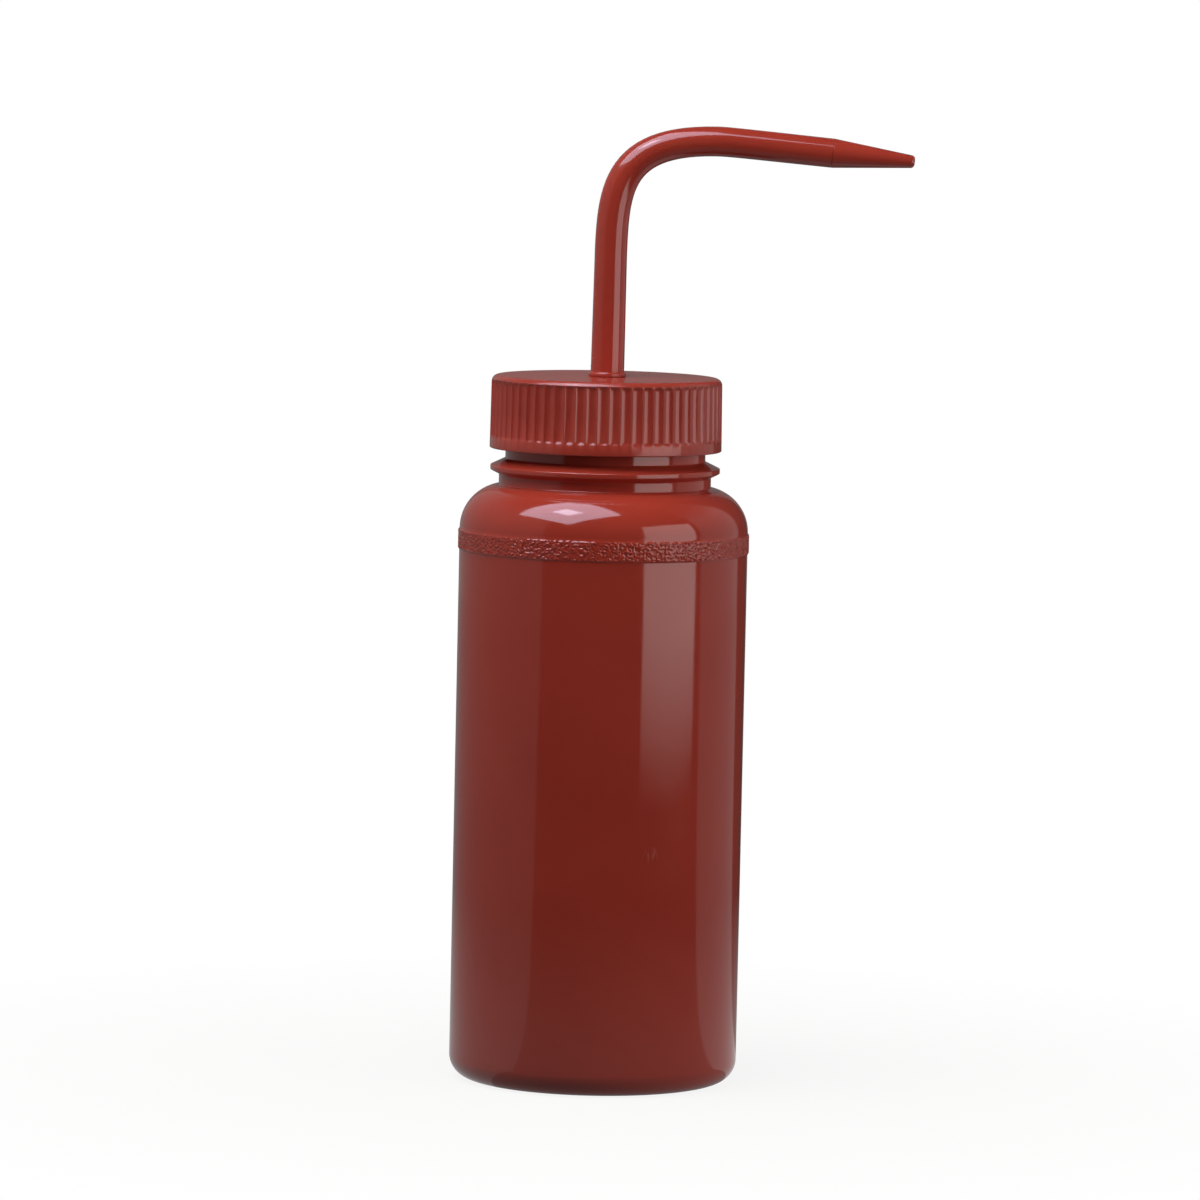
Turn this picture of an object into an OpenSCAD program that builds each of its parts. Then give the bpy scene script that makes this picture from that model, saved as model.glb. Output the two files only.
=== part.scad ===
// Wash bottle: a blow-moulded bottle with a ribbed screw cap, a bent delivery tube that turns
// in the cap, a tapered jet, a dip tube and a sealing washer.
// Millimetres, +Z up. The origin is the centre of the ring that the bottle stands on.
// The spout points along +X.

/* [Bottle] */
// Outer diameter of the body
body_d = 76; // [74:0.5:80]
// Height where the straight side ends and the shoulder begins
shoulder_z = 145.7; // [110:0.1:160]
// Thickness of the blown wall
wall = 1.2; // [0.8:0.1:1.6]
// Radius between the side and the base
base_fillet = 6; // [4:0.5:8]
// Depth of the push-up in the base
recess_h = 2.2; // [1.2:0.1:3]
// Height of the textured grip band under the shoulder
band_h = 5.7; // [3:0.1:12]
// How far the grip band stands proud
band_proud = 0.4; // [0.2:0.05:0.6]
// Radius of the shoulder
shoulder_r = 11.8; // [11:0.1:12]

/* [Neck] */
// Outer diameter of the neck above the bead
neck_d = 52.7; // [52.3:0.1:53]
// Bore of the neck
mouth_d = 49.6; // [47:0.1:50]
// Diameter of the bead below the cap
bead_d = 60.5; // [57:0.1:62]
// Height of the neck above the start of the shoulder
neck_h = 37.9; // [37.5:0.1:40]

/* [Thread] */
// Rise of the thread in one turn
pitch = 4.2; // [4:0.1:4.6]
// Turns of thread on the neck and in the cap
turns = 1.5; // [1:0.25:1.5]
// Height of the thread's ridge above its root
thread_h = 1.4; // [1.2:0.05:1.4]
// Gap between the loaded flanks, along the axis
flank_gap = 0.33; // [0.3:0.01:0.6]

/* [Cap] */
// Diameter over the grip ribs at the foot of the cap
cap_d = 61.1; // [60.8:0.1:64]
// Height of the cap
cap_h = 19.2; // [19:0.1:20]
// Number of grip grooves
groove_count = 65; // [40:1:72]
// Depth of a grip groove
groove_depth = 0.6; // [0.3:0.05:0.7]
// Thickness of the cap's top
deck_t = 1.5; // [1.2:0.1:1.8]
// Thickness of the sealing washer
liner_t = 1.0; // [0.8:0.1:1.2]

/* [Spout] */
// Outer diameter of the delivery tube at the cap
tube_d = 8.8; // [8.4:0.1:9.2]
// Outer diameter of the delivery tube at the jet
tube_end_d = 7.7; // [7.4:0.1:8]
// Bore of the delivery tube
tube_bore = 5.2; // [4.8:0.1:5.3]
// Height of the top of the bend, at the tube's centre
bend_z = 248.5; // [235:0.1:260]
// Distance from the bottle's axis to the joint between tube and jet
seam_x = 57.8; // [50:0.1:70]
// Length of the jet beyond that joint
jet_len = 21.8; // [16:0.1:26]
// Diameter of the hole in the jet
jet_bore = 1; // [0.8:0.1:1.6]
// Outer diameter of the dip tube
dip_d = 6; // [5.8:0.1:6.2]

/* [Hidden] */
$fn = 128;
body_r = body_d / 2;
neck_r = neck_d / 2;
mouth_r = mouth_d / 2;
bead_r = bead_d / 2;
lip_z = shoulder_z + neck_h;
// the standing ring, and the thickness of the floor over the push-up
foot_r = body_r - base_fillet;
foot_w = 4.5;
floor_t = 1.4;
// the plain part of the neck under the bead
collar_r = neck_r + 1.6;
bead_z = shoulder_z + 14.4;
bead_top_z = bead_z + 4.2;
// threads: each ridge's root lies this deep in the wall, and its ends fade out over fade_deg
root_sink = 0.4;
root_w = 2.6;
crest_w = 0.9;
fade_deg = 30;
thread_step = 6;
thread_z = shoulder_z + 26.3;
thread_play = 0.4;
neck_crest_r = neck_r + thread_h;
cap_bore_r = neck_crest_r + thread_play + 0.05;
cap_crest_r = neck_r + thread_play;
// width of a ridge halfway up, for the offset between the two threads
ridge_w = crest_w + (root_w - crest_w) * 0.5 * thread_h / (thread_h + root_sink);
thread_offset = ridge_w + flank_gap;
// cap
liner_play = 0.05;
deck_z = lip_z + liner_t + 2 * liner_play;
cap_top_z = deck_z + deck_t;
cap_foot_z = cap_top_z - cap_h;
cap_r = cap_d / 2;
cap_draft = 0.18;
cap_round = 1.8;
groove_r = 1;
groove_foot_z = cap_foot_z + 2.7;
groove_top_z = cap_top_z - 1.5;
// the cap's hub carries the delivery tube
hub_r = 7;
hub_h = 7;
journal_play = 0.05;
// delivery tube
tube_r = tube_d / 2;
tube_end_r = tube_end_d / 2;
bore_r = tube_bore / 2;
stop_h = 1;
stop_r = tube_r + 0.55;
snap_r = tube_r + 0.4;
snap_h = 1.2;
snap_gap = 0.1;
hub_foot_z = deck_z - hub_h;
stub_foot_z = hub_foot_z - 14;
socket_h = 13;
press = 0.04;
// dip tube
dip_r = dip_d / 2;
dip_bore_r = 2.1;
dip_foot_z = 5.5;
dip_top_z = stub_foot_z + socket_h;
// jet
jet_tip_r = 1.6;
jet_root_r = tube_end_r + 0.03;
jet_bore_r = jet_bore / 2;
jet_bore_len = 5;
tip_round = jet_tip_r - jet_bore_r - 0.1;
spigot_len = 7;
spigot_r = bore_r + press;
spigot_bore_r = 1.7;
taper = 6.5;
seam_gap = 0.02;

// centre line of the delivery tube in the XZ plane: up from the cap, round the bend in two
// Bezier curves, and down along a slight droop to the jet
droop = 4.9;
lean = 1.1;
rise_start = [0.05, cap_top_z + 0.6];
bend_start = [0.3, bend_z - 29.4];
bend_top = [27.5, bend_z];
droop_start = [40.4, bend_z - 0.9];
seam = [seam_x, droop_start.y - (seam_x - droop_start.x) * tan(droop)];
along = [cos(droop), -sin(droop)];

function bezier(a, b, c, d, n) =
    [for (i = [1:n]) let (t = i / n, s = 1 - t)
        s * s * s * a + 3 * s * s * t * b + 3 * s * t * t * c + t * t * t * d];

tube_path = concat(
    [for (t = [0:0.5:1]) rise_start + t * (bend_start - rise_start)],
    bezier(bend_start, bend_start + 17 * [sin(lean), cos(lean)], bend_top - [25.7, 0], bend_top, 22),
    bezier(bend_top, bend_top + [2, 0], droop_start - 8 * along, droop_start, 5),
    [for (t = [0.5:0.5:1]) droop_start + t * (seam - droop_start)]
);

// length of the tube's centre line as far as point i
function run(i) = i == 0 ? 0 : run(i - 1) + norm(tube_path[i] - tube_path[i - 1]);

// radius of the tube at point i: nearly full as far as the bend, then thinner towards the jet
function tube_radius(i) = lookup(run(i) / run(len(tube_path) - 1), [
    [0, tube_r],
    [0.3, 0.97 * tube_r],
    [0.42, 0.96 * tube_r],
    [0.65, tube_end_r + 0.08],
    [1, tube_end_r],
]);

// points on an arc, in the outline of a revolved shape
function arc(centre, r, from, to, n) =
    [for (i = [0:n]) centre + r * [cos(from + (to - from) * i / n), sin(from + (to - from) * i / n)]];

function reversed(list) = [for (i = [len(list) - 1:-1:0]) list[i]];

// angle at which an arc of radius r about x reaches the distance edge from the axis
function reach(edge, x, r) = acos((edge - x) / r);

bottle_foot = [
    [0, recess_h],
    [foot_r - foot_w - 3, recess_h - 0.4],
    [foot_r - foot_w, 0],
];
bottle_bead = [
    [collar_r, bead_z],
    [bead_r - 0.1, bead_z + 1.1],
    [bead_r, bead_z + 1.3],
    [bead_r, bead_z + 2.2],
    [bead_r - 0.1, bead_z + 2.4],
    [neck_r, bead_top_z],
];
shoulder_c = [body_r - shoulder_r, shoulder_z];

module bottle() {
    outside = concat(
        bottle_foot,
        arc([foot_r, base_fillet], base_fillet, -90, 0, 8),
        [
            [body_r, shoulder_z - band_h],
            [body_r + band_proud, shoulder_z - band_h + band_proud],
            [body_r + band_proud, shoulder_z - band_proud],
        ],
        arc(shoulder_c, shoulder_r, 0, reach(collar_r, shoulder_c.x, shoulder_r), 12),
        bottle_bead,
        [[neck_r, lip_z - 0.6], [neck_r - 0.6, lip_z]]
    );
    inside = concat(
        [
            [0, recess_h + floor_t],
            [foot_r - foot_w - 2.4, recess_h - 0.4 + floor_t],
            [foot_r - foot_w + 1, wall],
        ],
        arc([foot_r, base_fillet], base_fillet - wall, -90, 0, 8),
        arc(shoulder_c, shoulder_r - wall, 0, reach(mouth_r, shoulder_c.x, shoulder_r - wall), 12),
        [[mouth_r, lip_z - 0.4], [mouth_r + 0.4, lip_z]]
    );
    color("#75271a")
    union() {
        rotate_extrude() polygon(concat(outside, reversed(inside)));
        thread(neck_r, neck_crest_r, thread_z);
    }
}

// a ridge wound up a wall at root_r towards crest_r, right-handed, with its middle starting at foot_z
module thread(root_r, crest_r, foot_z) {
    n = turns * 360 / thread_step;
    out = crest_r > root_r ? 1 : -1;
    proud = abs(crest_r - root_r);
    corners = [for (i = [0:n])
        let (
            deg = i * thread_step,
            full = min(1, deg / fade_deg, (turns * 360 - deg) / fade_deg),
            crest = root_r + out * (0.2 + (proud - 0.2) * full),
            z = foot_z + pitch * deg / 360,
            low = [[root_r - out * root_sink, z - root_w / 2], [crest, z - crest_w / 2]],
            high = [[crest, z + crest_w / 2], [root_r - out * root_sink, z + root_w / 2]],
            ring = concat(low, high)
        )
        for (p = out > 0 ? ring : reversed(ring)) [p.x * cos(deg), p.x * sin(deg), p.y]];
    sides = [for (i = [0:n - 1], k = [0:3]) let (a = 4 * i + k, b = 4 * i + (k + 1) % 4)
        each [[a, b, b + 4], [a, b + 4, a + 4]]];
    polyhedron(corners, concat([[3, 2, 1, 0]], sides, [[4 * n, 4 * n + 1, 4 * n + 2, 4 * n + 3]]));
}

module screw_cap() {
    outside = concat(
        [[cap_bore_r + 0.3, cap_foot_z], [cap_r - 0.3, cap_foot_z], [cap_r, cap_foot_z + 0.3]],
        arc([cap_r - cap_draft - cap_round, cap_top_z - cap_round], cap_round, 0, 90, 6)
    );
    inside = [
        [tube_r + journal_play, cap_top_z],
        [tube_r + journal_play, hub_foot_z],
        [hub_r, hub_foot_z],
        [hub_r, deck_z],
        [cap_bore_r, deck_z],
        [cap_bore_r, cap_foot_z + 0.3],
    ];
    color("#7a352e")
    union() {
        difference() {
            rotate_extrude() polygon(concat(outside, inside));
            for (i = [0:groove_count - 1])
                rotate(360 * i / groove_count)
                    translate([cap_r - groove_depth + groove_r, 0, groove_foot_z])
                        cylinder(r = groove_r, h = groove_top_z - groove_foot_z, $fn = 24);
        }
        thread(cap_bore_r, cap_crest_r, thread_z - thread_offset);
    }
}

module cap_liner() {
    color("#e9e6df")
    rotate_extrude()
        translate([mouth_r - 3.8, lip_z + liner_play])
            square([cap_bore_r - 0.5 - mouth_r + 3.8, liner_t]);
}

// the bent tube from the stop collar to the jet: an outer and an inner skin with a ring at each end
module bent_tube() {
    sides = 36;
    total = len(tube_path) - 1;
    skin = 2 * sides;
    points = [for (i = [0:total])
        let (
            step = tube_path[min(i + 1, total)] - tube_path[max(i - 1, 0)],
            dir = step / norm(step)
        )
        for (ring_r = [tube_radius(i), bore_r], k = [0:sides - 1])
            let (deg = 360 * k / sides, off = ring_r * cos(deg))
            [tube_path[i].x + dir.y * off, ring_r * sin(deg), tube_path[i].y - dir.x * off]];
    outer = [for (i = [0:total - 1], k = [0:sides - 1])
        let (a = skin * i + k, b = skin * i + (k + 1) % sides)
        each [[a, b + skin, b], [a, a + skin, b + skin]]];
    inner = [for (i = [0:total - 1], k = [0:sides - 1])
        let (a = skin * i + sides + k, b = skin * i + sides + (k + 1) % sides)
        each [[a, b, b + skin], [a, b + skin, a + skin]]];
    ends = [for (a = [0:sides - 1]) let (b = (a + 1) % sides, c = skin * total)
        each [
            [a, b, sides + b],
            [a, sides + b, sides + a],
            [c + b, c + a, c + sides + b],
            [c + a, c + sides + a, c + sides + b],
        ]];
    polyhedron(points, concat(outer, inner, ends));
}

module spout_tube() {
    stub = [
        [dip_r, stub_foot_z],
        [tube_r - 0.5, stub_foot_z],
        [tube_r - 0.1, stub_foot_z + 0.4],
        [tube_r - 0.1, hub_foot_z - snap_gap - snap_h],
        [snap_r, hub_foot_z - snap_gap - snap_h + 0.7],
        [snap_r, hub_foot_z - snap_gap],
        [tube_r, hub_foot_z - snap_gap],
        [tube_r, cap_top_z + 0.05],
        [stop_r, cap_top_z + 0.05],
        [stop_r, cap_top_z + stop_h - 0.4],
        [stop_r - 0.4, cap_top_z + stop_h],
        [bore_r + 0.1, cap_top_z + stop_h],
        [bore_r + 0.1, dip_top_z],
        [dip_r, dip_top_z],
    ];
    color("#75271a")
    union() {
        rotate_extrude() polygon(stub);
        bent_tube();
    }
}

module jet_nozzle() {
    outline = concat(
        [
            [spigot_bore_r, -spigot_len],
            [spigot_r - 0.3, -spigot_len],
            [spigot_r, -spigot_len + 0.3],
            [spigot_r, seam_gap],
            [jet_root_r, seam_gap],
        ],
        arc([jet_tip_r - tip_round, jet_len - tip_round], tip_round, taper, 90, 6),
        [[jet_bore_r, jet_len - 0.1], [jet_bore_r, jet_len - jet_bore_len], [spigot_bore_r, 0]]
    );
    color("#75271a")
    translate([seam.x, 0, seam.y])
        rotate([0, 90 + droop, 0])
            rotate_extrude() polygon(outline);
}

module dip_tube() {
    color("#d4d1c9")
    difference() {
        translate([0, 0, dip_foot_z])
            cylinder(r = dip_r + press, h = dip_top_z - dip_foot_z - seam_gap);
        translate([0, 0, dip_foot_z - 1])
            cylinder(r = dip_bore_r, h = dip_top_z);
        // the foot is cut at 45 degrees so that it can't seal itself against the floor
        translate([0, 0, dip_foot_z + dip_r])
            rotate([0, 45, 0])
                translate([0, 0, -5 * dip_r])
                    cube(10 * dip_r, center = true);
    }
}

bottle();
screw_cap();
cap_liner();
spout_tube();
jet_nozzle();
dip_tube();
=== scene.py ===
import math

import bpy
from mathutils import Matrix, Vector


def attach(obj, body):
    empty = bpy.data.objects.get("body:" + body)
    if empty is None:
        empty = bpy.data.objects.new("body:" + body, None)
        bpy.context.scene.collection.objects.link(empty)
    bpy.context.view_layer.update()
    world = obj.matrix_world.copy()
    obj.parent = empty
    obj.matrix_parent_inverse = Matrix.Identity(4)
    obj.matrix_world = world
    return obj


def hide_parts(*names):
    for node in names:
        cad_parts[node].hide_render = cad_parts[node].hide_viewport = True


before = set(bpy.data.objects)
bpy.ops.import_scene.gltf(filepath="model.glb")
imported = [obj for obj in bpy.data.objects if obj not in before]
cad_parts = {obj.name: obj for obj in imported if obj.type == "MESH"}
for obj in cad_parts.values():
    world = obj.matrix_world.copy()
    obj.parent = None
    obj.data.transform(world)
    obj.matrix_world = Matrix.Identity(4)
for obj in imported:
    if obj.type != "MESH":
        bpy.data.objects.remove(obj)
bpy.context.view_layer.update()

# ---------------------------------------------------------------------------------------------
# Bottle. One hollow blow moulding in pigmented low-density polyethylene: a round body on a
# pushed-up base, a pebbled grip band under the shoulder, a bead, and a neck with a thread.
# The melt is blown out against a polished mould, which closes on a parting line at the sides.
# ---------------------------------------------------------------------------------------------
# sizes are in millimetres and MM turns them to metres; points nearer than WELD become one
MM = 0.001
WELD = 1e-6

BODY_R = 38.0
FOOT_R = 32.0
RING_IN_R = 27.5
PUSH_UP_R = 24.5
PUSH_UP_EDGE_Z = 1.8
PUSH_UP_Z = 2.2
WALL = 1.2
SHOULDER_Z = 145.7
SHOULDER_R = 11.8
SHOULDER_CENTRE_R = BODY_R - SHOULDER_R
COLLAR_R = 27.95
COLLAR_FOOT_Z = 157.37
COLLAR_TOP_Z = 160.1
BEAD_R = 30.25
BEAD_FOOT_Z = 161.25
BEAD_TOP_Z = 162.45
NECK_R = 26.35
NECK_FOOT_Z = 164.3
NECK_BORE_R = 24.8
LIP_Z = 183.6
BOTTLE_STEPS = 256

# the grip band: it stands a trace proud of the body, up to just under the shoulder
BAND_FOOT_Z = 140.0
BAND_TOP_Z = SHOULDER_Z - 0.35
BAND_PROUD = 0.16
BAND_PICK_R = BODY_R + 0.13
BAND_RAMP = 0.3
BAND_ROWS = 6
PEBBLE_W = 0.55
PEBBLE_H = 0.2


def arc(centre, radius, start, end, steps):
    """Points (r, z) in mm along an arc, with its angles in degrees."""
    turns = [math.radians(start + (end - start) * i / steps) for i in range(steps + 1)]
    return [(centre[0] + radius * math.cos(a), centre[1] + radius * math.sin(a)) for a in turns]


def eased(corners):
    """The outline, with each corner that gives a third number rounded to that radius."""
    path = []
    for i, corner in enumerate(corners):
        point = Vector(corner[:2])
        if len(corner) == 2:
            path.append(point)
            continue
        back = (Vector(corners[i - 1][:2]) - point).normalized()
        ahead = (Vector(corners[(i + 1) % len(corners)][:2]) - point).normalized()
        half = back.angle(ahead) / 2
        radius = corner[2]
        centre = point + (back + ahead).normalized() * (radius / math.sin(half))
        start = point + back * (radius / math.tan(half)) - centre
        end = point + ahead * (radius / math.tan(half)) - centre
        steps = 3 + round(4 * math.sqrt(radius))
        path += [centre + start.lerp(end, k / steps).normalized() * radius for k in range(steps + 1)]
    return path


def drawn(name, outline):
    """A new piece in edit mode that holds the outline (r, z) in mm as one closed run of edges."""
    bpy.ops.object.select_all(action="DESELECT")
    bpy.ops.mesh.primitive_plane_add(size=MM)
    piece = bpy.context.object
    piece.name = piece.data.name = name
    bpy.ops.object.mode_set(mode="EDIT")
    bpy.ops.mesh.merge(type="CENTER")
    bpy.ops.mesh.select_all(action="SELECT")
    bpy.ops.transform.translate(value=(outline[0][0] * MM, 0, outline[0][1] * MM))
    loop = list(outline) + [outline[0]]
    for a, b in zip(loop, loop[1:]):
        step = ((b[0] - a[0]) * MM, 0, (b[1] - a[1]) * MM)
        bpy.ops.mesh.extrude_vertices_move(TRANSFORM_OT_translate={"value": step})
    bpy.ops.mesh.select_all(action="SELECT")
    bpy.ops.mesh.remove_doubles(threshold=WELD)
    return piece


def cleaned(piece):
    """Leaves edit mode with the doubles merged and every face turned outwards."""
    bpy.ops.mesh.select_all(action="SELECT")
    bpy.ops.mesh.remove_doubles(threshold=WELD)
    bpy.ops.mesh.normals_make_consistent(inside=False)
    bpy.ops.object.mode_set(mode="OBJECT")
    return piece


def turned(name, outline, steps):
    """A solid of revolution about the Z axis."""
    piece = drawn(name, outline)
    bpy.ops.mesh.spin(steps=steps, angle=math.tau, center=(0, 0, 0), axis=(0, 0, 1))
    return cleaned(piece)


def picked(piece, test):
    """Goes into edit mode with just the vertices selected whose place in mm passes the test."""
    bpy.ops.object.mode_set(mode="EDIT")
    bpy.ops.mesh.select_mode(type="VERT")
    bpy.ops.mesh.select_all(action="DESELECT")
    bpy.ops.object.mode_set(mode="OBJECT")
    for vertex in piece.data.vertices:
        x, y, z = vertex.co / MM
        vertex.select = test(math.hypot(x, y), math.degrees(math.atan2(y, x)), z)
    bpy.ops.object.mode_set(mode="EDIT")


def joined(piece, *others):
    """Makes the others part of the piece's mesh."""
    bpy.ops.object.select_all(action="DESELECT")
    for part in (piece, *others):
        part.select_set(True)
    bpy.context.view_layer.objects.active = piece
    bpy.ops.object.join()
    return piece


def smoothed(piece, degrees):
    """Shades the piece smooth, with edges sharper than the angle left crisp."""
    bpy.ops.object.select_all(action="DESELECT")
    piece.select_set(True)
    bpy.context.view_layer.objects.active = piece
    bpy.ops.object.shade_smooth_by_angle(angle=math.radians(degrees))


PITCH = 4.2
THREAD_TURNS = 1.5
THREAD_STEPS = 108
THREAD_PROUD = 1.4
NECK_THREAD_Z = 172.0
ROOT_W = 2.6
CREST_W = 0.9
ROOT_SINK = 0.4
FADE_DEG = 30


def thread(name, root_r, crest_r, foot_z):
    """A right-handed ridge wound up a wall, with its ends run out to nothing."""
    out = 1 if crest_r > root_r else -1
    root = root_r - out * ROOT_SINK
    ridge = drawn(name, [(root, foot_z - ROOT_W / 2), (crest_r, foot_z - CREST_W / 2),
                         (crest_r, foot_z + CREST_W / 2), (root, foot_z + ROOT_W / 2)])
    bpy.ops.object.mode_set(mode="OBJECT")
    screw = ridge.modifiers.new("winding", "SCREW")
    screw.angle = math.tau * THREAD_TURNS
    screw.screw_offset = PITCH * THREAD_TURNS * MM
    screw.steps = screw.render_steps = THREAD_STEPS
    screw.use_smooth_shade = False
    bpy.ops.object.modifier_apply(modifier=screw.name)
    whole = 360 * THREAD_TURNS
    for vertex in ridge.data.vertices:
        x, y, z = vertex.co / MM
        radius = math.hypot(x, y)
        turn = math.degrees(math.atan2(y, x))
        turn += 360 * round(((z - foot_z) / PITCH * 360 - turn) / 360)
        full = max(0.0, min(1.0, turn / FADE_DEG, (whole - turn) / FADE_DEG))
        if abs(radius - crest_r) < abs(radius - root):
            faded = (root_r + (crest_r - root_r) * full) / radius
            vertex.co.x *= faded
            vertex.co.y *= faded
    bpy.ops.object.mode_set(mode="EDIT")
    bpy.ops.mesh.select_all(action="SELECT")
    bpy.ops.mesh.fill_holes(sides=4)
    return cleaned(ridge)


outside = [
    (0, PUSH_UP_Z),
    (PUSH_UP_R, PUSH_UP_EDGE_Z, 1.2),
    (RING_IN_R, 0, 0.6),
    (BODY_R, 0, BODY_R - FOOT_R),
]
outside += [(BODY_R, z) for z in range(20, 140, 20)]
outside += [(BODY_R, BAND_FOOT_Z), (BODY_R + 0.12, BAND_FOOT_Z + 0.12)]
outside += [
    (BODY_R + BAND_PROUD,
     BAND_FOOT_Z + BAND_RAMP + (BAND_TOP_Z - BAND_FOOT_Z - BAND_RAMP) * i / BAND_ROWS)
    for i in range(BAND_ROWS + 1)
]
outside += arc((SHOULDER_CENTRE_R, SHOULDER_Z), SHOULDER_R, 0, 81.5, 22)[:-1]
outside += [
    (COLLAR_R, COLLAR_FOOT_Z, 0.5),
    (COLLAR_R, COLLAR_TOP_Z, 0.35),
    (BEAD_R, BEAD_FOOT_Z, 0.35),
    (BEAD_R, BEAD_TOP_Z, 0.35),
    (NECK_R, NECK_FOOT_Z, 0.5),
    (NECK_R, LIP_Z, 0.6),
]
inside = [(NECK_BORE_R, LIP_Z, 0.4)]
inside += arc((SHOULDER_CENTRE_R, SHOULDER_Z), SHOULDER_R - WALL, 97.6, 0, 14)
inside += [
    (BODY_R - WALL, WALL, BODY_R - FOOT_R - WALL),
    (28.5, WALL, 0.6),
    (25.1, 3.2, 1.0),
    (0, 3.6),
]
bottle = turned("bottle", eased(outside + inside), BOTTLE_STEPS)

# the grip band: its faces are cut finer, then pushed out into pebbles
picked(bottle, lambda r, deg, z: r > BAND_PICK_R and BAND_FOOT_Z < z < SHOULDER_Z)
bpy.ops.mesh.subdivide(number_cuts=4)
bpy.ops.object.mode_set(mode="OBJECT")
pebbled = bottle.vertex_groups.new(name="grip_band")
pebbled.add(
    [v.index for v in bottle.data.vertices
     if math.hypot(v.co.x, v.co.y) > BAND_PICK_R * MM
     and BAND_FOOT_Z + BAND_RAMP + 0.02 < v.co.z / MM < BAND_TOP_Z - 0.02],
    1.0, "REPLACE")
pebbles = bpy.data.textures.new("grip_pebbles", "CLOUDS")
pebbles.noise_basis = "ORIGINAL_PERLIN"
pebbles.noise_scale = PEBBLE_W * MM
pebbles.noise_depth = 0
pebbles.contrast = 4.0
pebbles.use_clamp = True
raised = bottle.modifiers.new("pebbles", "DISPLACE")
raised.texture = pebbles
raised.texture_coords = "LOCAL"
raised.direction = "NORMAL"
raised.vertex_group = "grip_band"
raised.mid_level = 0.0
raised.strength = PEBBLE_H * MM
bpy.ops.object.modifier_apply(modifier=raised.name)

# the neck's thread, and the welded pinch-off bar across the base where the mould closes
PINCH_Z = 1.9
PINCH_SIZE = (44, 0.9, 0.9)
neck_thread = thread("neck_thread", NECK_R, NECK_R + THREAD_PROUD, NECK_THREAD_Z)
bpy.ops.object.select_all(action="DESELECT")
bpy.ops.mesh.primitive_cube_add(size=MM, location=(0, 0, PINCH_Z * MM))
pinch_off = bpy.context.object
bpy.ops.object.mode_set(mode="EDIT")
bpy.ops.transform.resize(value=PINCH_SIZE)
bpy.ops.mesh.bevel(offset=0.25 * MM, segments=3)
cleaned(pinch_off)
joined(bottle, neck_thread, pinch_off)
smoothed(bottle, 32)


def linear(code):
    """An sRGB hex colour as the linear numbers that a shader takes."""
    parts = [int(code[i:i + 2], 16) / 255 for i in (1, 3, 5)]
    return [c / 12.92 if c <= 0.04045 else ((c + 0.055) / 1.055) ** 2.4 for c in parts] + [1.0]


def add(tree, kind, inputs=None, **settings):
    """A shader node with its settings; each input is a value, or an output to link it to."""
    new = tree.nodes.new("ShaderNode" + kind)
    for name, value in settings.items():
        setattr(new, name, value)
    for name, value in (inputs or {}).items():
        if isinstance(value, bpy.types.NodeSocket):
            tree.links.new(value, new.inputs[name])
        else:
            new.inputs[name].default_value = value
    return new


def material(name):
    """An empty material and its node tree."""
    made = bpy.data.materials.new(name)
    made.use_nodes = True
    made.node_tree.nodes.clear()
    return made, made.node_tree


def ramp(tree, factor, stops):
    """A colour ramp output: stops are (place, sRGB hex) pairs."""
    made = add(tree, "ValToRGB", {"Fac": factor})
    while len(made.color_ramp.elements) < len(stops):
        made.color_ramp.elements.new(0.5)
    for element, (place, code) in zip(made.color_ramp.elements, stops):
        element.position = place
        element.color = linear(code)
    return made.outputs["Color"]


# Pigmented low-density polyethylene, blown against a polished mould: an even brick red that
# is a little cloudy where the melt stretched, a gloss with a faint ripple, and hairline rubs
blown, tree = material("blown_polyethylene")
here = add(tree, "TexCoord").outputs["Object"]
cloud = add(tree, "TexNoise", {"Vector": here, "Scale": 1 / 0.03, "Detail": 3.0})
red = ramp(tree, cloud.outputs["Fac"], [(0.3, "#aa3b2e"), (0.7, "#b03f31")])
rub = add(tree, "TexNoise", {"Vector": here, "Scale": 1 / 0.006, "Detail": 4.0})
gloss = add(tree, "MapRange", {"Value": rub.outputs["Fac"], "From Min": 0.35, "From Max": 0.75,
                               "To Min": 0.07, "To Max": 0.12})
ripple = add(tree, "TexNoise", {"Vector": here, "Scale": 1 / 0.014, "Detail": 1.0})
wavy = add(tree, "Bump", {"Height": ripple.outputs["Fac"], "Distance": 0.03 * MM, "Strength": 0.5})
grain = add(tree, "TexNoise", {"Vector": here, "Scale": 1 / 0.0009, "Detail": 2.0})
grained = add(tree, "Bump", {"Height": grain.outputs["Fac"], "Distance": 0.002 * MM,
                             "Strength": 0.5, "Normal": wavy.outputs["Normal"]})
# the fine line at both sides where the two halves of the mould met
axes = add(tree, "SeparateXYZ", {"Vector": here})
off_line = add(tree, "Math", {0: axes.outputs["Y"]}, operation="ABSOLUTE")
parting = add(tree, "MapRange", {"Value": off_line.outputs["Value"], "From Min": 0.05 * MM,
                                 "From Max": 0.3 * MM, "To Min": 1.0, "To Max": 0.0})
seamed = add(tree, "Bump", {"Height": parting.outputs["Result"], "Distance": 0.06 * MM,
                            "Strength": 0.6, "Normal": grained.outputs["Normal"]})
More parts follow.
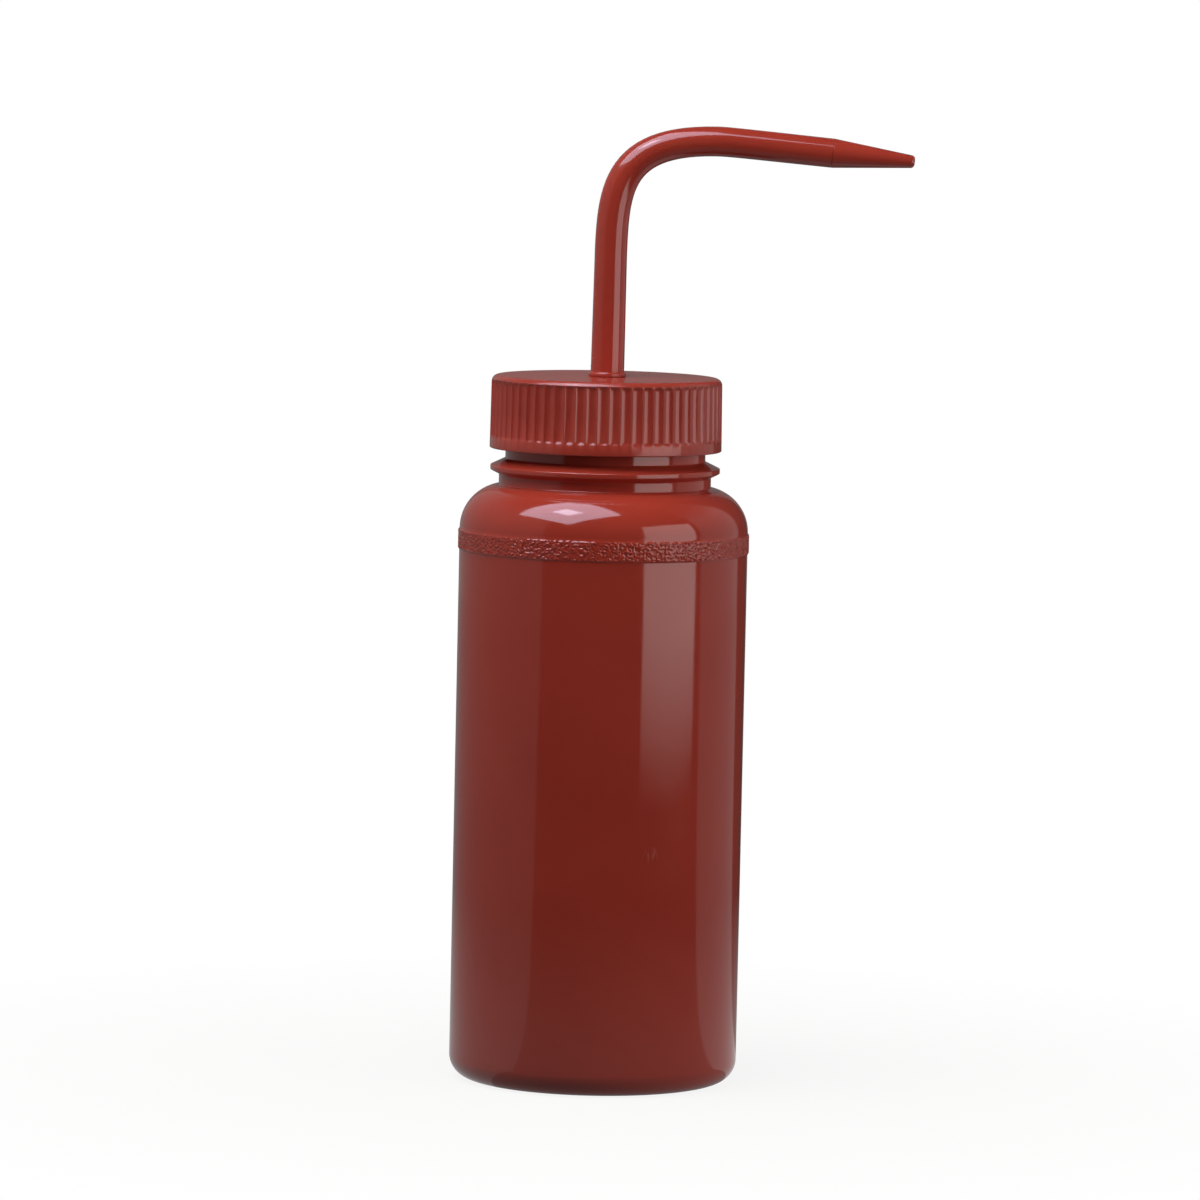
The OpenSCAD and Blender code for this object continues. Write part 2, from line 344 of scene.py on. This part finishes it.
# one small scuff low on the front, paler where slanting scratches score the plastic
SCUFF_PLACE = (0.0138, -0.0354, 0.064)
SCUFF_SLANT = math.radians(-25)
apart = add(tree, "VectorMath", {0: here, 1: SCUFF_PLACE}, operation="DISTANCE")
patch = add(tree, "MapRange", {"Value": apart.outputs["Value"], "From Min": 0.5 * MM,
                               "From Max": 2.4 * MM, "To Min": 1.0, "To Max": 0.0})
slanted = add(tree, "Mapping", {"Vector": here, "Rotation": (0, SCUFF_SLANT, 0),
                                "Scale": (1.0, 1.0, 0.12)})
scratches = add(tree, "TexNoise", {"Vector": slanted.outputs["Vector"], "Scale": 1 / 0.0006})
scored = add(tree, "MapRange", {"Value": scratches.outputs["Fac"], "From Min": 0.54,
                                "From Max": 0.64, "To Min": 0.0, "To Max": 0.55})
scuff = add(tree, "Math", {0: patch.outputs["Result"], 1: scored.outputs["Result"]},
            operation="MULTIPLY")
worn = add(tree, "MixRGB", {"Fac": scuff.outputs["Value"], "Color1": red,
                            "Color2": linear("#c98578")})
skin = add(tree, "BsdfPrincipled", {"Base Color": worn.outputs["Color"],
                                    "Roughness": gloss.outputs["Result"],
                                    "IOR": 1.51, "Normal": seamed.outputs["Normal"]})
add(tree, "OutputMaterial", {"Surface": skin.outputs["BSDF"]})
bottle.data.materials.append(blown)

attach(bottle, "bottle")
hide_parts("bottle")

# ---------------------------------------------------------------------------------------------
# Sealing washer. Punched from closed-cell polyethylene foam sheet and pushed up into the cap;
# it seals on the lip, or squeezing the bottle would blow air out past the thread.
# ---------------------------------------------------------------------------------------------
LINER_IN_R = 21.0
LINER_OUT_R = 27.7
LINER_FOOT_Z = 183.65
LINER_TOP_Z = 184.65
liner_edge = [
    (LINER_IN_R, LINER_FOOT_Z, 0.2),
    (LINER_OUT_R, LINER_FOOT_Z, 0.2),
    (LINER_OUT_R, LINER_TOP_Z, 0.2),
    (LINER_IN_R, LINER_TOP_Z, 0.2),
]
cap_liner = turned("cap_liner", eased(liner_edge), 128)
smoothed(cap_liner, 40)

# Closed-cell polyethylene foam: off-white and matt, with cells that are about 0.3 mm across
foam, tree = material("foamed_polyethylene")
here = add(tree, "TexCoord").outputs["Object"]
cells = add(tree, "TexVoronoi", {"Vector": here, "Scale": 1 / 0.0003})
pale = ramp(tree, cells.outputs["Distance"], [(0.1, "#dedad1"), (0.6, "#efece5")])
pitted = add(tree, "Bump", {"Height": cells.outputs["Distance"], "Distance": 0.05 * MM,
                            "Strength": 0.6})
skin = add(tree, "BsdfPrincipled", {"Base Color": pale, "Roughness": 0.75, "IOR": 1.5,
                                    "Normal": pitted.outputs["Normal"]})
add(tree, "OutputMaterial", {"Surface": skin.outputs["BSDF"]})
cap_liner.data.materials.append(foam)

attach(cap_liner, "liner")
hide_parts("cap_liner")

# ---------------------------------------------------------------------------------------------
# Screw cap. Injection moulded in pigmented polypropylene, with 65 grip grooves that run out
# over a plain foot band, a thread inside, and a hub in the middle that carries the tube.
# ---------------------------------------------------------------------------------------------
GROOVES = 65
GROOVE_STEPS = 12
GROOVE_DEPTH = 0.6
FLOOR_CURVE = 0.35
CAP_FOOT_Z = 167.0
CAP_TOP_Z = 186.2
CAP_FOOT_R = 30.55
CAP_TOP_R = 30.37
CAP_ROUND = 1.8
CAP_BORE_R = 28.2
CAP_THREAD_R = 26.75
CAP_THREAD_Z = 170.11
DECK_Z = 184.7
HUB_R = 7.0
HUB_FOOT_Z = 177.7
JOURNAL_R = 4.45

# how much of its depth a groove has at each height, where it runs out at the foot band, and at
# each angle round the rounded top, which it arches into
groove_share = [(169.7, 0.0), (170.1, 0.5), (170.7, 1.0), (177.0, 1.0), (183.2, 1.0), (183.9, 0.97)]
round_share = {0: 0.9, 7.5: 0.75, 15: 0.5, 22.5: 0.2}
round_z = CAP_TOP_Z - CAP_ROUND


def cap_wall_r(z):
    """The cap's radius over its crests, which have a little draft."""
    return CAP_FOOT_R + (CAP_TOP_R - CAP_FOOT_R) * (z - CAP_FOOT_Z) / (round_z - CAP_FOOT_Z)


top_arc = arc((CAP_TOP_R - CAP_ROUND, round_z), CAP_ROUND, 0, 90, 12)
cap_edge = [(CAP_BORE_R, CAP_FOOT_Z, 0.25), (CAP_FOOT_R, CAP_FOOT_Z, 0.3)]
cap_edge += [(cap_wall_r(z), z) for z, share in groove_share]
cap_edge += top_arc
cap_edge += [(r, CAP_TOP_Z) for r in (22.0, 14.0, 8.0)]
cap_edge += [
    (JOURNAL_R, CAP_TOP_Z, 0.2),
    (JOURNAL_R, HUB_FOOT_Z, 0.2),
    (HUB_R, HUB_FOOT_Z, 0.3),
    (HUB_R, DECK_Z, 0.5),
    (CAP_BORE_R, DECK_Z, 0.5),
]
# one groove with half a crest on each side, shaped step by step and then copied round
screw_cap = drawn("screw_cap", eased(cap_edge))
one_groove = math.tau / GROOVES
bpy.ops.mesh.spin(steps=GROOVE_STEPS, angle=one_groove, center=(0, 0, 0), axis=(0, 0, 1))
bpy.ops.mesh.select_all(action="SELECT")
bpy.ops.mesh.remove_doubles(threshold=WELD)
rows = [(cap_wall_r(z), z, share) for z, share in groove_share if share]
rows += [
    (CAP_TOP_R - CAP_ROUND * (1 - math.cos(math.radians(deg))),
     round_z + CAP_ROUND * math.sin(math.radians(deg)),
     share)
    for deg, share in round_share.items()
]
# a low FLOOR_CURVE makes a groove's floor flat and its sides steep
for row_r, row_z, share in rows:
    for k in range(1, GROOVE_STEPS):
        phase = k / GROOVE_STEPS
        depth = GROOVE_DEPTH * share * (0.5 - 0.5 * math.cos(math.tau * phase)) ** FLOOR_CURVE
        floor_r = min(row_r, cap_wall_r(min(row_z, round_z)) - depth)
        if floor_r < row_r - 0.001:
            turn = 360 * phase / GROOVES
            picked(screw_cap, lambda r, deg, z: abs(r - row_r) < 0.01
                   and abs(z - row_z) < 0.01 and abs(abs(deg) - turn) < 0.05)
            bpy.ops.transform.resize(value=(floor_r / row_r, floor_r / row_r, 1),
                                     center_override=(0, 0, 0))
bpy.ops.mesh.select_all(action="SELECT")
bpy.ops.mesh.spin(steps=GROOVES - 1, dupli=True, angle=math.tau - one_groove,
                  center=(0, 0, 0), axis=(0, 0, 1))
cleaned(screw_cap)
cap_thread = thread("cap_thread", CAP_BORE_R, CAP_THREAD_R, CAP_THREAD_Z)
joined(screw_cap, cap_thread)
smoothed(screw_cap, 40)

# Pigmented polypropylene, injection moulded in a finely blasted tool: the same red, a shade
# duller, with a satin gloss and a grain that is too fine to see singly, so it's drawn at 0.4 mm
moulded, tree = material("moulded_polypropylene")
here = add(tree, "TexCoord").outputs["Object"]
cloud = add(tree, "TexNoise", {"Vector": here, "Scale": 1 / 0.012, "Detail": 3.0})
red = ramp(tree, cloud.outputs["Fac"], [(0.3, "#a83d31"), (0.7, "#ae4135")])
rub = add(tree, "TexNoise", {"Vector": here, "Scale": 1 / 0.003, "Detail": 3.0})
gloss = add(tree, "MapRange", {"Value": rub.outputs["Fac"], "From Min": 0.3, "From Max": 0.7,
                               "To Min": 0.17, "To Max": 0.22})
grain = add(tree, "TexNoise", {"Vector": here, "Scale": 1 / 0.0004, "Detail": 1.0})
grained = add(tree, "Bump", {"Height": grain.outputs["Fac"], "Distance": 0.002 * MM,
                             "Strength": 0.5})
skin = add(tree, "BsdfPrincipled", {"Base Color": red, "Roughness": gloss.outputs["Result"],
                                    "IOR": 1.49, "Normal": grained.outputs["Normal"]})
add(tree, "OutputMaterial", {"Surface": skin.outputs["BSDF"]})
screw_cap.data.materials.append(moulded)

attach(screw_cap, "cap")
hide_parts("screw_cap")

# ---------------------------------------------------------------------------------------------
# Delivery tube. Polyethylene, moulded straight with a stop collar and a snap bead that hold it
# in the cap's hub, then bent hot over a former, which leaves it a little thinner past the bend.
# ---------------------------------------------------------------------------------------------
TUBE_R = 4.4
TUBE_WALL = 1.25
TUBE_BORE_R = 2.65
STUB_R = 4.3
STUB_FOOT_Z = 163.7
SNAP_R = 4.8
SNAP_TOP_Z = 177.6
SOCKET_R = 3.04
DIP_TOP_Z = 176.68
STOP_R = 4.95
STOP_FOOT_Z = CAP_TOP_Z + 0.05
FOOT_TOP_Z = CAP_TOP_Z + 3.0
DROOP = math.radians(4.9)
LEAN = math.radians(1.1)
ALONG = Vector((math.cos(DROOP), -math.sin(DROOP)))
BEND_START = Vector((0.3, 219.1))
BEND_TOP = Vector((27.5, 248.5))
DROOP_START = Vector((40.4, 247.6))
SEAM = DROOP_START + ALONG * ((57.8 - DROOP_START.x) / ALONG.x)

# the turned foot: socket for the dip tube, snap bead, journal and stop collar
foot_edge = [
    (SOCKET_R, STUB_FOOT_Z, 0.15),
    (STUB_R, STUB_FOOT_Z, 0.4),
    (STUB_R, 176.4, 0.3),
    (SNAP_R, 177.1, 0.2),
    (SNAP_R, SNAP_TOP_Z, 0.1),
    (TUBE_R, SNAP_TOP_Z, 0.1),
    (TUBE_R, STOP_FOOT_Z, 0.1),
    (STOP_R, STOP_FOOT_Z, 0.15),
    (STOP_R, CAP_TOP_Z + 1.0, 0.35),
    (TUBE_R - 0.02, CAP_TOP_Z + 1.12, 0.25),
    (TUBE_R - 0.03, FOOT_TOP_Z),
    (TUBE_BORE_R, FOOT_TOP_Z),
    (TUBE_BORE_R, DIP_TOP_Z + 0.02),
    (SOCKET_R, DIP_TOP_Z + 0.02),
]
spout_foot = turned("spout_foot", eased(foot_edge), 64)

# the bent part: a round bar drawn along the bend's line, then hollowed
bpy.ops.object.select_all(action="DESELECT")
bpy.ops.curve.primitive_bezier_curve_add(location=(0, 0, 0))
spout_tube = bpy.context.object
spout_tube.name = "spout_tube"
line = spout_tube.data.splines[0]
line.bezier_points.add(3)
line.radius_interpolation = "EASE"
rise = Vector((0.05, 187.4))
upright = 17 * Vector((math.sin(LEAN), math.cos(LEAN)))
# each point: its place, the handle before it, the handle after it, and the tube's radius there
bend_line = [
    (rise, rise - Vector((0, 1)), rise.lerp(BEND_START, 0.33), 4.4),
    (BEND_START, BEND_START.lerp(rise, 0.33), BEND_START + upright, 4.27),
    (BEND_TOP, BEND_TOP - Vector((25.7, 0)), BEND_TOP + Vector((2.0, 0)), 3.93),
    (DROOP_START, DROOP_START - 8 * ALONG, DROOP_START.lerp(SEAM, 0.33), 3.89),
    (SEAM, SEAM.lerp(DROOP_START, 0.33), SEAM + ALONG, 3.85),
]
for point, (place, before, after, radius) in zip(line.bezier_points, bend_line):
    point.handle_left_type = point.handle_right_type = "FREE"
    point.co = (place.x * MM, 0, place.y * MM)
    point.handle_left = (before.x * MM, 0, before.y * MM)
    point.handle_right = (after.x * MM, 0, after.y * MM)
    point.radius = radius / TUBE_R
spout_tube.data.dimensions = "3D"
spout_tube.data.resolution_u = 26
spout_tube.data.bevel_depth = TUBE_R * MM
spout_tube.data.bevel_resolution = 30
bpy.ops.object.convert(target="MESH")
bpy.ops.object.mode_set(mode="EDIT")
cleaned(spout_tube)
hollow = spout_tube.modifiers.new("bore", "SOLIDIFY")
hollow.thickness = TUBE_WALL * MM
hollow.offset = -1
bpy.ops.object.modifier_apply(modifier=hollow.name)
joined(spout_tube, spout_foot)
smoothed(spout_tube, 35)

# Pigmented polyethylene from a polished tool: glossier than the cap, with the faint lengthwise
# drag of the hot bend and the fine rubs of handling
drawn_tube, tree = material("bent_polyethylene")
here = add(tree, "TexCoord").outputs["Object"]
cloud = add(tree, "TexNoise", {"Vector": here, "Scale": 1 / 0.01, "Detail": 3.0})
red = ramp(tree, cloud.outputs["Fac"], [(0.3, "#a73a2e"), (0.7, "#ad3e31")])
rub = add(tree, "TexNoise", {"Vector": here, "Scale": 1 / 0.003, "Detail": 3.0})
gloss = add(tree, "MapRange", {"Value": rub.outputs["Fac"], "From Min": 0.3, "From Max": 0.7,
                               "To Min": 0.08, "To Max": 0.13})
ripple = add(tree, "TexNoise", {"Vector": here, "Scale": 1 / 0.005, "Detail": 1.0})
wavy = add(tree, "Bump", {"Height": ripple.outputs["Fac"], "Distance": 0.02 * MM, "Strength": 0.5})
skin = add(tree, "BsdfPrincipled", {"Base Color": red, "Roughness": gloss.outputs["Result"],
                                    "IOR": 1.51, "Normal": wavy.outputs["Normal"]})
add(tree, "OutputMaterial", {"Surface": skin.outputs["BSDF"]})
spout_tube.data.materials.append(drawn_tube)

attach(spout_tube, "spout")
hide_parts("spout_tube")

# ---------------------------------------------------------------------------------------------
# Jet. A tapered polyethylene moulding that is pushed into the end of the tube by its spigot;
# its root stands a trace proud of the tube, so the joint shows as a fine line.
# ---------------------------------------------------------------------------------------------
JET_LEN = 21.8
JET_ROOT_R = 3.88
JET_TIP_R = 1.6
JET_BORE_R = 1.7
ORIFICE_R = 0.5
ORIFICE_LEN = 5.0
SPIGOT_R = 2.6
SPIGOT_LEN = 7.0
JOINT_GAP = 0.06
jet_edge = [
    (JET_BORE_R, -SPIGOT_LEN),
    (SPIGOT_R, -SPIGOT_LEN, 0.3),
    (SPIGOT_R, JOINT_GAP),
    (JET_ROOT_R, JOINT_GAP, 0.14),
    (JET_TIP_R, JET_LEN, 1.0),
    (ORIFICE_R, JET_LEN, 0.08),
    (ORIFICE_R, JET_LEN - ORIFICE_LEN),
    (JET_BORE_R, 0.0),
]
jet_nozzle = turned("jet_nozzle", eased(jet_edge), 64)
jet_nozzle.rotation_euler = (0, math.pi / 2 + DROOP, 0)
jet_nozzle.location = (SEAM.x * MM, 0, SEAM.y * MM)
bpy.ops.object.select_all(action="DESELECT")
jet_nozzle.select_set(True)
bpy.context.view_layer.objects.active = jet_nozzle
bpy.ops.object.transform_apply(location=True, rotation=True, scale=True)
smoothed(jet_nozzle, 35)
jet_nozzle.data.materials.append(drawn_tube)

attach(jet_nozzle, "spout")
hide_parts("jet_nozzle")

# ---------------------------------------------------------------------------------------------
# Dip tube. Extruded natural polyethylene, pushed up into the foot of the delivery tube; its
# lower end is cut at 45 degrees, so that it can't seal itself against the bottle's floor.
# ---------------------------------------------------------------------------------------------
DIP_R = 3.0
DIP_WALL = 0.9
DIP_FOOT_Z = 5.5
bpy.ops.object.select_all(action="DESELECT")
bpy.ops.mesh.primitive_circle_add(vertices=64, radius=DIP_R * MM, location=(0, 0, DIP_FOOT_Z * MM))
dip_tube = bpy.context.object
dip_tube.name = dip_tube.data.name = "dip_tube"
bpy.ops.object.transform_apply(location=True, rotation=True, scale=True)
bpy.ops.object.mode_set(mode="EDIT")
bpy.ops.mesh.extrude_edges_move(
    TRANSFORM_OT_translate={"value": (0, 0, (DIP_TOP_Z - DIP_FOOT_Z) * MM)})
bpy.ops.mesh.select_all(action="SELECT")
bpy.ops.mesh.bisect(plane_co=(0, 0, (DIP_FOOT_Z + DIP_R) * MM), plane_no=(1, 0, 1), clear_inner=True)
cleaned(dip_tube)
hollow = dip_tube.modifiers.new("bore", "SOLIDIFY")
hollow.thickness = DIP_WALL * MM
hollow.offset = -1
bpy.ops.object.modifier_apply(modifier=hollow.name)
smoothed(dip_tube, 35)

# Natural low-density polyethylene, extruded: milky and satin, with faint die lines along it
natural, tree = material("natural_polyethylene")
here = add(tree, "TexCoord").outputs["Object"]
along = add(tree, "Mapping", {"Vector": here, "Scale": (1.0, 1.0, 0.02)})
die_lines = add(tree, "TexNoise", {"Vector": along.outputs["Vector"], "Scale": 1 / 0.0006})
milky = ramp(tree, die_lines.outputs["Fac"], [(0.3, "#cfccc4"), (0.7, "#dad8d1")])
lined = add(tree, "Bump", {"Height": die_lines.outputs["Fac"], "Distance": 0.02 * MM,
                           "Strength": 0.4})
skin = add(tree, "BsdfPrincipled", {"Base Color": milky, "Roughness": 0.35, "IOR": 1.51,
                                    "Subsurface Weight": 0.3, "Subsurface Scale": 0.001,
                                    "Normal": lined.outputs["Normal"]})
add(tree, "OutputMaterial", {"Surface": skin.outputs["BSDF"]})
dip_tube.data.materials.append(natural)

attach(dip_tube, "spout")
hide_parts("dip_tube")

# ---------------------------------------------------------------------------------------------
# Floor. A plain pale table top that runs out into an even white, so that it has no far edge.
# The bottle itself stands in a dim room, so what it mirrors of the floor is kept dim, and it is
# painted light: a painted pool of glow round the bottle's foot that fades out, and the room's two
# pale cards painted on as glow by direction.
# ---------------------------------------------------------------------------------------------
FLOOR_R = 1.5


def room_levels(tree, way):
    """The grey level of the dim room in each direction round the bottle: two pale cards."""
    axes = add(tree, "SeparateXYZ", {"Vector": way})
    around = add(tree, "Math", {0: axes.outputs["X"], 1: axes.outputs["Y"]}, operation="ARCTAN2")
    share = add(tree, "MapRange", {"Value": around.outputs["Value"], "From Min": -math.pi,
                                   "From Max": math.pi})
    walls = add(tree, "ValToRGB", {"Fac": share.outputs["Result"]})
    # where each level starts, in degrees from straight behind the bottle, clockwise from above
    levels = [(-180, 0.02), (-131, 0.29), (-14, 0.17), (14, 0.05), (43, 0.47), (95, 0.02)]
    walls.color_ramp.interpolation = "CONSTANT"
    while len(walls.color_ramp.elements) < len(levels):
        walls.color_ramp.elements.new(0.5)
    for element, (start, grey) in zip(walls.color_ramp.elements, levels):
        element.position = (start + 180) / 360
        element.color = (grey, grey, grey, 1)
    return walls.outputs["Color"]


bpy.ops.object.select_all(action="DESELECT")
bpy.ops.mesh.primitive_circle_add(vertices=96, radius=FLOOR_R, fill_type="NGON")
floor = bpy.context.object
floor.name = "floor"
painted, tree = material("pale_floor")
here = add(tree, "TexCoord").outputs["Object"]
away = add(tree, "VectorMath", {0: here}, operation="LENGTH")
share = add(tree, "MapRange", {"Value": away.outputs["Value"], "From Min": 0.04, "From Max": 0.25,
                               "To Min": 0.88, "To Max": 1.0})
paint = add(tree, "BsdfDiffuse", {"Color": linear("#f2f2f1")})
glow = add(tree, "Emission", {"Color": linear("#ffffff"), "Strength": 1.0})
shown = add(tree, "MixShader", {"Fac": share.outputs["Result"], 1: paint.outputs["BSDF"],
                                2: glow.outputs["Emission"]})
# seen only in reflections, the floor glows with painted light: a painted pool of glow round the
# bottle's foot, and the room's card levels painted on by direction
lit = add(tree, "MapRange", {"Value": away.outputs["Value"], "From Min": 0.1, "From Max": 0.42,
                             "To Min": 0.26, "To Max": 0.0})
painted_pool_glow = add(tree, "Emission", {"Color": linear("#ffffff"), "Strength": lit.outputs["Result"]})
cards = add(tree, "Emission", {"Color": room_levels(tree, here), "Strength": 0.8})
dim = add(tree, "AddShader", {0: painted_pool_glow.outputs["Emission"], 1: cards.outputs["Emission"]})
ray = add(tree, "LightPath")
both = add(tree, "MixShader", {"Fac": ray.outputs["Is Camera Ray"], 1: dim.outputs["Shader"],
                               2: shown.outputs["Shader"]})
add(tree, "OutputMaterial", {"Surface": both.outputs["Shader"]})
floor.data.materials.append(painted)
floor.visible_diffuse = False

# ---------------------------------------------------------------------------------------------
# Studio light. A soft box hung above at the left with a lamp in it, and a tall box at the right,
# show only as gloss; two more lamps light the plastic and don't show in its gloss. Round them
# is a dim room with a pale card on each side.
# ---------------------------------------------------------------------------------------------
SHOULDER = Vector((0, 0, 0.15))
HUNG_OVER = Vector((0.022, -0.03, 0.14))
COOL_WHITE = "#e6e8ff"
WARM_WHITE = "#fffaf6"


def soft_box(name, width, height, radiance, tint, place, across):
    """A rectangular soft box that faces the bottle's shoulder; across is its own sideways line."""
    lamp = bpy.data.lights.new(name, "AREA")
    lamp.shape = "RECTANGLE"
    lamp.size = width
    lamp.size_y = height
    lamp.energy = math.pi * width * height * radiance
    lamp.color = linear(tint)[:3]
    box = bpy.data.objects.new(name, lamp)
    bpy.context.scene.collection.objects.link(box)
    back = (place - SHOULDER).normalized()
    across = (across - back * across.dot(back)).normalized()
    turn = Matrix((across, back.cross(across), back)).transposed()
    box.matrix_world = Matrix.Translation(place) @ turn.to_4x4()
    box.visible_camera = False
    return box


overhead_way = Vector((-0.384, -0.269, 0.883)).normalized()
overhead_place = HUNG_OVER + 0.8 * overhead_way
level_line = Vector((-overhead_way.y, overhead_way.x, 0)).normalized()
rising_line = overhead_way.cross(level_line)
tip = math.radians(-10)
hung = level_line * math.cos(tip) + rising_line * math.sin(tip)
overhead = soft_box("overhead_soft_box", 0.73, 0.71, 6.0, COOL_WHITE, overhead_place, hung)
overhead.visible_diffuse = False
core_place = overhead_place - overhead_way * 0.02
core = soft_box("overhead_lamp", 0.2, 0.16, 9.0, COOL_WHITE, core_place, hung)
core.visible_diffuse = False
# what lights the plastic itself: one lamp steeply above, one low at the right
key_place = SHOULDER + 0.6 * Vector((-0.306, -0.367, 0.878))
key = soft_box("top_light", 0.5, 0.5, 4.4, WARM_WHITE, key_place, level_line)
key.visible_glossy = False
side_place = Vector((0.7, -0.36, 0.24))
side = soft_box("side_light", 0.5, 0.5, 2.8, WARM_WHITE, side_place, Vector((0, 0, 1)))
side.visible_glossy = False

# the tall box stands on the floor and is dark up to one height, then brightens to full
TALL_W = 0.5
TALL_H = 0.5
TALL_DARK_Z = 0.014
TALL_FULL_Z = 0.069
TALL_RADIANCE = 2.35
TALL_AZIMUTH = math.radians(54.6)
TALL_AWAY = 0.6
bpy.ops.object.select_all(action="DESELECT")
bpy.ops.mesh.primitive_plane_add(size=1)
tall_box = bpy.context.object
tall_box.name = "tall_soft_box"
tall_box.scale = (TALL_W, TALL_H, 1)
tall_box.rotation_euler = (math.pi / 2, 0, TALL_AZIMUTH)
tall_box.location = (TALL_AWAY * math.sin(TALL_AZIMUTH), -TALL_AWAY * math.cos(TALL_AZIMUTH),
                     TALL_H / 2)
bpy.ops.object.transform_apply(location=True, rotation=True, scale=True)
tall_box.visible_camera = False
tall_box.visible_shadow = False
tall_box.visible_diffuse = False
cloth, tree = material("lit_cloth")
here = add(tree, "TexCoord").outputs["Object"]
height = add(tree, "SeparateXYZ", {"Vector": here})
lit = add(tree, "MapRange", {"Value": height.outputs["Z"], "From Min": TALL_DARK_Z,
                             "From Max": TALL_FULL_Z, "To Min": 0.0, "To Max": TALL_RADIANCE})
glow = add(tree, "Emission", {"Color": linear("#fff8f6"), "Strength": lit.outputs["Result"]})
add(tree, "OutputMaterial", {"Surface": glow.outputs["Emission"]})
tall_box.data.materials.append(cloth)

room = bpy.data.worlds.new("studio_room")
bpy.context.scene.world = room
room.use_nodes = True
tree = room.node_tree
tree.nodes.clear()
outward = add(tree, "TexCoord").outputs["Generated"]
axes = add(tree, "SeparateXYZ", {"Vector": outward})
# the cards fade out from 33 to 53 degrees up, and the room above them is nearly dark
ceiling = add(tree, "MapRange", {"Value": axes.outputs["Z"], "From Min": 0.55, "From Max": 0.8,
                                 "To Min": 1.0, "To Max": 0.1})
dim = add(tree, "Background", {"Color": room_levels(tree, outward),
                               "Strength": ceiling.outputs["Result"]})
white = add(tree, "Background", {"Color": linear("#ffffff"), "Strength": 1.0})
ray = add(tree, "LightPath")
seen = add(tree, "MixShader", {"Fac": ray.outputs["Is Camera Ray"], 1: dim.outputs["Background"],
                               2: white.outputs["Background"]})
add(tree, "OutputWorld", {"Surface": seen.outputs["Shader"]})
bpy.context.scene.view_settings.view_transform = "Standard"

# ---------------------------------------------------------------------------------------------
# Camera. A long lens from two metres away, a little above the bottle, tilted about a degree.
# ---------------------------------------------------------------------------------------------
EYE = Vector((0, -2.0, 0.2994))
AIM = Vector((-0.0006, 0, 0.1271))
ROLL = 0.0216
LENS_MM = 228.3
lens = bpy.data.cameras.new("camera")
lens.lens = LENS_MM
lens.sensor_width = 36.0
lens.clip_start = 0.05
lens.clip_end = 50.0
camera = bpy.data.objects.new("camera", lens)
bpy.context.scene.collection.objects.link(camera)
camera.location = EYE
facing = (AIM - EYE).to_track_quat("-Z", "Y").to_matrix().to_4x4()
camera.rotation_euler = (facing @ Matrix.Rotation(ROLL, 4, "Z")).to_euler()
bpy.context.scene.camera = camera
